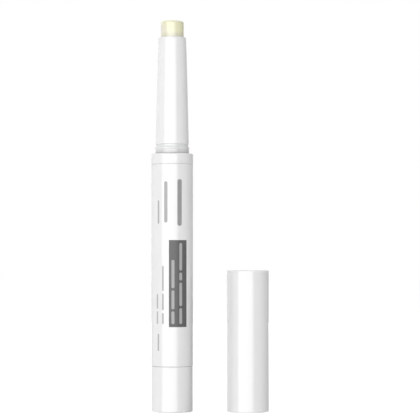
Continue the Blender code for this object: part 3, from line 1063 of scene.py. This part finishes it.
@dataclass
class BarrelPrint(Assembly):
    """The barrel's print: a plain dark panel, and plain bars on it and round it."""

    panel_turn_degrees: float = 18.0
    panel_width: float = 0.00538
    panel_head: float = 0.04883
    panel_foot: float = 0.0242
    panel_shade: float = 0.088
    panel_film: float = 0.000010
    bar_film: float = 0.000018
    facet: float = radians(2.5)
    end_steps: int = 4
    line_foot: float = 0.0251
    panel_line_width: float = 0.00085
    panel_gap_share: float = 0.7
    panel_lines: tuple[PrintedLine, ...] = (
        PrintedLine(turn_degrees=3.3, head=0.0432, foot=line_foot, width=panel_line_width,
                    rhythm=Rhythm.TRIO, gap_share=panel_gap_share),
        PrintedLine(turn_degrees=25.1, head=0.0480, foot=line_foot, width=panel_line_width,
                    rhythm=Rhythm.QUARTET, gap_share=panel_gap_share))
    panel_bar_shade: float = 0.42
    name_lines: tuple[PrintedLine, ...] = (
        PrintedLine(turn_degrees=21.6, head=0.0661, foot=0.0529, width=0.0013),)
    name_shade: float = 0.32
    title_lines: tuple[PrintedLine, ...] = (
        PrintedLine(turn_degrees=-16.6, head=0.0655, foot=0.0538, width=0.0010),)
    title_shade: float = 0.44
    small_line_width: float = 0.0005
    small_lines: tuple[PrintedLine, ...] = (
        PrintedLine(turn_degrees=-39.4, head=0.0601, foot=0.0535, width=0.00055),
        PrintedLine(turn_degrees=-24.8, head=0.0415, foot=line_foot,
                    width=small_line_width, rhythm=Rhythm.TRIO),
        PrintedLine(turn_degrees=-43.0, head=0.0335, foot=line_foot,
                    width=small_line_width, rhythm=Rhythm.PAIR),
        PrintedLine(turn_degrees=-39.4, head=0.0223, foot=0.0174, width=small_line_width))
    small_shade: float = 0.46
    body = Body.PEN

    def build(self) -> None:
        """Print the panel, the bars on it and the lines round it."""
        panel = [PrintedBar(radians(self.panel_turn_degrees), self.panel_head,
                            self.panel_foot, self.panel_width)]
        self.print_bars("print_panel", panel, self.panel_film,
                        PrintInk("panel_ink", grey(self.panel_shade)))
        for name, lines, shade in (
                ("print_panel_bars", self.panel_lines, self.panel_bar_shade),
                ("print_name_bar", self.name_lines, self.name_shade),
                ("print_title_bar", self.title_lines, self.title_shade),
                ("print_small_bars", self.small_lines, self.small_shade)):
            bars = [bar for line in lines for bar in line.bars()]
            ink = PrintInk(f"{name}_ink", grey(shade))
            self.print_bars(name, bars, self.bar_film, ink)

    def print_bars(self, name: str, bars: Sequence[PrintedBar], film: float,
                   ink: PrintInk) -> None:
        """Lay bars of one ink on the barrel, as one piece.

        Args:
            name: The piece's name.
            bars: The bars.
            film: How thick the ink lies.
            ink: Its finish.
        """
        builder = bmesh.new()
        for bar in bars:
            self.lay_bar(builder, bar, film)
        bmesh.ops.recalc_face_normals(builder, faces=builder.faces)
        self.place(name, finished_mesh(name, builder), ink)

    def lay_sheet(self, builder: bmesh.types.BMesh, bar: PrintedBar,
                  film: float) -> list[list[bmesh.types.BMVert]]:
        """Lay out one side of a bar's film, bent round the barrel.

        Args:
            builder: The bmesh that its points are added to.
            bar: The bar.
            film: How far off the barrel it lies.

        Returns:
            The points, row by row from the bar's foot.
        """
        barrel = Span.of("barrel").radius - PenBody.film_room
        radius = barrel + film
        columns = ceil(bar.width / barrel / self.facet) + 1
        sheet = []
        for height, half in bar.rows(self.end_steps):
            row = []
            for column in range(columns):
                angle = bar.turn + half / barrel * (2 * column / (columns - 1) - 1)
                row.append(builder.verts.new(
                    (radius * sin(angle), -radius * cos(angle), height)))
            sheet.append(row)
        return sheet

    def lay_bar(self, builder: bmesh.types.BMesh, bar: PrintedBar, film: float) -> None:
        """Add one bar to a piece, as a closed film that follows the barrel.

        Args:
            builder: The bmesh that it is added to.
            bar: The bar.
            film: How thick it is.
        """
        under = self.lay_sheet(builder, bar, 0.0)
        over = self.lay_sheet(builder, bar, film)
        for sheet in (under, over):
            for lower, upper in zip(sheet, sheet[1:]):
                for index in range(len(lower) - 1):
                    builder.faces.new((lower[index], lower[index + 1],
                                       upper[index + 1], upper[index]))
        rim_under, rim_over = (
            sheet[0] + [row[-1] for row in sheet[1:-1]] + sheet[-1][::-1]
            + [row[0] for row in sheet[-2:0:-1]] for sheet in (under, over))
        for index in range(len(rim_under)):
            builder.faces.new((rim_under[index - 1], rim_under[index],
                               rim_over[index], rim_over[index - 1]))


@dataclass
class TwistKnob(Assembly):
    """The knob, and the hub, drag ring and spindle that turn with it."""

    base_fillet: float = 0.0003
    seam_fillet: float = 0.0001
    seam_reach: float = 0.00003
    bore: float = 0.0049
    floor: float = 0.0014
    body = Body.KNOB

    def build(self) -> None:
        """Build the knob and dress what is in it."""
        span = Span.of("twist_knob")
        head = span.head + self.seam_reach
        outline = Turning((
            Corner(0, self.floor),
            Corner(self.bore, self.floor),
            Corner(self.bore, head),
            Corner(span.radius, head, self.seam_fillet),
            Corner(span.radius, span.foot, self.base_fillet),
            Corner(0, span.foot)))
        finish = GlossMoulding("knob_gloss", span.radius, rims=(span.foot, head),
                               seams=(head,))
        self.place("knob_shell", outline.mesh("knob_shell"), finish, ["twist_knob"])
        self.dress_nodes(["drive_hub", "spindle"], CloudyMoulding())
        self.dress_nodes(["drag_ring"], SealRubber())


@dataclass
class BalmCarrier(Assembly):
    """The stick of balm, and the cup, tube and nut that carry it."""

    edge_fillet: float = 0.0005
    crown: float = 0.00015
    crown_steps: int = 3
    foot_radius: float = 0.002625
    foot_length: float = 0.0077
    rings: int = 26
    facets: int = 96
    hollow_depth: float = 0.000015
    hollow_size: float = 0.0022
    body = Body.CARRIER

    def build(self) -> None:
        """Build the stick and dress what carries it."""
        self.build_balm()
        self.dress_nodes(["balm_cup", "push_tube", "drive_nut"], CloudyMoulding())

    def build_balm(self) -> None:
        """Build the stick, lightly uneven as cast wax is, and never past its own size."""
        span = Span.of("balm")
        shoulder = span.foot + self.foot_length
        dome = [Corner(span.radius * step / self.crown_steps,
                       span.head - self.crown * step ** 2 / self.crown_steps ** 2)
                for step in range(self.crown_steps)]
        dome.append(Corner(span.radius, span.head - self.crown, self.edge_fillet))
        top = span.head - self.crown - 2 * self.edge_fillet
        side = [Corner(span.radius, top - (top - shoulder) * ring / self.rings)
                for ring in range(self.rings + 1)]
        foot = [Corner(self.foot_radius, shoulder), Corner(self.foot_radius, span.foot),
                Corner(0, span.foot)]
        mesh = Turning(tuple(dome + side + foot), self.facets).mesh("balm_stick")
        for vert in mesh.vertices:
            if vert.co.z > shoulder + self.edge_fillet:
                vert.co -= self.hollow(vert.co, span.radius)
        self.place("balm_stick", mesh, BalmWax(), ["balm"])

    def hollow(self, point: Vector, radius: float) -> Vector:
        """Return how far a point of the stick has sunk as the wax set.

        Args:
            point: The point, before it sinks.
            radius: The stick's radius, where the wax sinks most.

        Returns:
            The way from the sunk point to it.
        """
        share = (noise.noise(point / self.hollow_size) + 1) / 2
        outward = Vector((point.x, point.y, 0)) / radius
        return outward * self.hollow_depth * share


@dataclass
class Cap(Assembly):
    """The cap: a plain shell, and the liner that seals the nose inside it."""

    bore: float = 0.00495
    top_wall: float = 0.0012
    top_fillet: float = 0.0003
    mouth_fillet: float = 0.00015
    ridge_depth: float = 0.00015
    ridge_length: float = 0.0006
    ridge_rise: float = 0.0009
    ridge_edge: float = 0.00006
    liner_mouth_radius: float = 0.00446
    liner_seat_radius: float = 0.00416
    liner_tip_bore: float = 0.003555
    liner_seat_rise: float = 0.00965
    liner_edge: float = 0.0001
    body = Body.CAP

    def build(self) -> None:
        """Build the shell and its liner."""
        self.build_shell()
        self.build_liner()

    def build_shell(self) -> None:
        """Build the shell, closed at its top, with its snap ridge inside the mouth."""
        span = Span.of("cap_shell")
        depth = span.head - self.top_wall
        outline = Turning((
            Corner(0, span.head),
            Corner(span.radius, span.head, self.top_fillet),
            Corner(span.radius, span.foot, self.mouth_fillet),
            Corner(self.bore, span.foot, self.mouth_fillet),
            Corner(self.bore, self.ridge_rise - self.ridge_length / 2, self.ridge_edge),
            Corner(self.bore - self.ridge_depth, self.ridge_rise, self.ridge_edge),
            Corner(self.bore, self.ridge_rise + self.ridge_length / 2, self.ridge_edge),
            Corner(self.bore, depth),
            Corner(0, depth)))
        finish = GlossMoulding("cap_gloss", span.radius, rims=(span.foot, span.head))
        self.place("cap_outer", outline.mesh("cap_outer"), finish, ["cap_shell"], span.axis)

    def build_liner(self) -> None:
        """Build the liner, whose bore narrows to the nose's lip and then to the balm."""
        span = Span.of("cap_liner")
        seat = span.foot + self.liner_seat_rise
        outline = Turning((
            Corner(self.liner_mouth_radius, span.foot, self.liner_edge),
            Corner(span.radius, span.foot, self.liner_edge),
            Corner(span.radius, span.head),
            Corner(self.liner_tip_bore, span.head),
            Corner(self.liner_tip_bore, seat, self.liner_edge),
            Corner(self.liner_seat_radius, seat)))
        self.place("cap_inner", outline.mesh("cap_inner"), CloudyMoulding(), ["cap_liner"],
                   span.axis)


@dataclass(frozen=True)
class SoftBox:
    """A soft lamp that looks at the pen and its cap."""

    name: str
    bearing_degrees: float
    rise_degrees: float
    distance: float
    width: float
    height: float
    radiance: float
    mirrored: bool = True
    watts_per_radiance: float = 4.0

    def hang(self, target: Vector) -> None:
        """Hang the lamp and turn it to its target.

        Args:
            target: The point that it looks at.
        """
        bearing = radians(self.bearing_degrees)
        rise = radians(self.rise_degrees)
        way = Vector((sin(bearing) * cos(rise), -cos(bearing) * cos(rise), sin(rise)))
        light = bpy.data.lights.new(self.name, "AREA")
        light.shape = "RECTANGLE"
        light.size = self.width
        light.size_y = self.height
        light.energy = self.radiance * self.width * self.height * self.watts_per_radiance
        lamp = bpy.data.objects.new(self.name, light)
        lamp.location = target + way * self.distance
        lamp.rotation_euler = way.to_track_quat("Z", "Y").to_euler()
        lamp.visible_camera = False
        lamp.visible_glossy = self.mirrored
        bpy.context.scene.collection.objects.link(lamp)


@dataclass
class Studio:
    """The floor, the light and the camera."""

    target: tuple[float, float, float] = (0.0108, 0.0, 0.055)
    floor_half: float = 3.0
    floor_cells: int = 24
    floor_drop: float = 0.00005
    ambient: float = 0.16
    card_bearing: float = radians(120)
    card_glow: float = 0.27
    card_from: float = 0.65
    card_reach: float = 0.3
    soft_boxes: tuple[SoftBox, ...] = (
        SoftBox("key_box", bearing_degrees=-13.5, rise_degrees=4.0, distance=1.4,
                width=2.5, height=1.12, radiance=2.29),
        SoftBox("left_box", bearing_degrees=-95.0, rise_degrees=16.0, distance=0.5,
                width=0.62, height=0.6, radiance=0.8, mirrored=False),
        SoftBox("right_box", bearing_degrees=92.0, rise_degrees=16.0, distance=0.5,
                width=0.28, height=0.6, radiance=1.29, mirrored=False),
        SoftBox("top_box", bearing_degrees=0.0, rise_degrees=80.0, distance=0.5,
                width=0.5, height=0.5, radiance=0.32, mirrored=False),
        SoftBox("back_box", bearing_degrees=180.0, rise_degrees=20.0, distance=0.6,
                width=0.3, height=0.6, radiance=1.6, mirrored=False))
    eye: tuple[float, float, float] = (0.01082, -0.497, 0.0443)
    level_degrees: float = 90.0
    tilt_degrees: float = 1.521
    lens: float = 148.7
    sensor: float = 36.0
    near_clip: float = 0.01

    def build(self) -> None:
        """Build the whole studio."""
        self.lay_floor()
        self.light_world()
        for box in self.soft_boxes:
            box.hang(Vector(self.target))
        self.set_camera()
        bpy.context.scene.view_settings.view_transform = "Standard"

    def lay_floor(self) -> None:
        """Lay the paper that the pen and the cap stand on."""
        builder = bmesh.new()
        bmesh.ops.create_grid(builder, x_segments=self.floor_cells,
                              y_segments=self.floor_cells, size=self.floor_half,
                              matrix=Matrix.Translation((0, 0, -self.floor_drop)))
        floor = bpy.data.objects.new("floor", finished_mesh("floor", builder))
        bpy.context.scene.collection.objects.link(floor)
        floor.visible_glossy = False
        StudioPaper().dress(floor)

    def light_world(self) -> None:
        """Fill the studio with an even light, white but for a grey card on the right."""
        world = bpy.data.worlds.new("studio")
        world.use_nodes = True
        graph = Graph(world.node_tree)
        way = graph.add("ShaderNodeTexCoord", output="Generated")
        card_way = (sin(self.card_bearing), -cos(self.card_bearing), 0)
        facing = graph.add("ShaderNodeVectorMath", {"operation": "DOT_PRODUCT"},
                           {0: way, 1: card_way}, output="Value")
        card = ((facing - self.card_from) / self.card_reach).clamped()
        room = graph.blend(card, WHITE, grey(self.card_glow))
        colour = graph.blend(seen_directly(graph), grey(self.ambient), room)
        light = graph.add("ShaderNodeBackground", sockets={"Color": colour})
        graph.add("ShaderNodeOutputWorld", sockets={"Surface": light})
        bpy.context.scene.world = world

    def set_camera(self) -> None:
        """Set the camera in front of the pen, a little below its middle."""
        camera = bpy.data.cameras.new("camera")
        camera.lens = self.lens
        camera.sensor_width = self.sensor
        camera.sensor_fit = "HORIZONTAL"
        camera.clip_start = self.near_clip
        holder = bpy.data.objects.new("camera", camera)
        holder.location = self.eye
        holder.rotation_euler = (radians(self.level_degrees + self.tilt_degrees), 0, 0)
        bpy.context.scene.collection.objects.link(holder)
        bpy.context.scene.camera = holder


def main() -> None:
    """Build the pen, its cap and the studio."""
    logging.basicConfig(level=logging.INFO, format="%(name)s: %(message)s")
    for assembly in (PenBody(), BarrelPrint(), TwistKnob(), BalmCarrier(), Cap()):
        assembly.build()
    Studio().build()


if __name__ == "__main__":
    main()
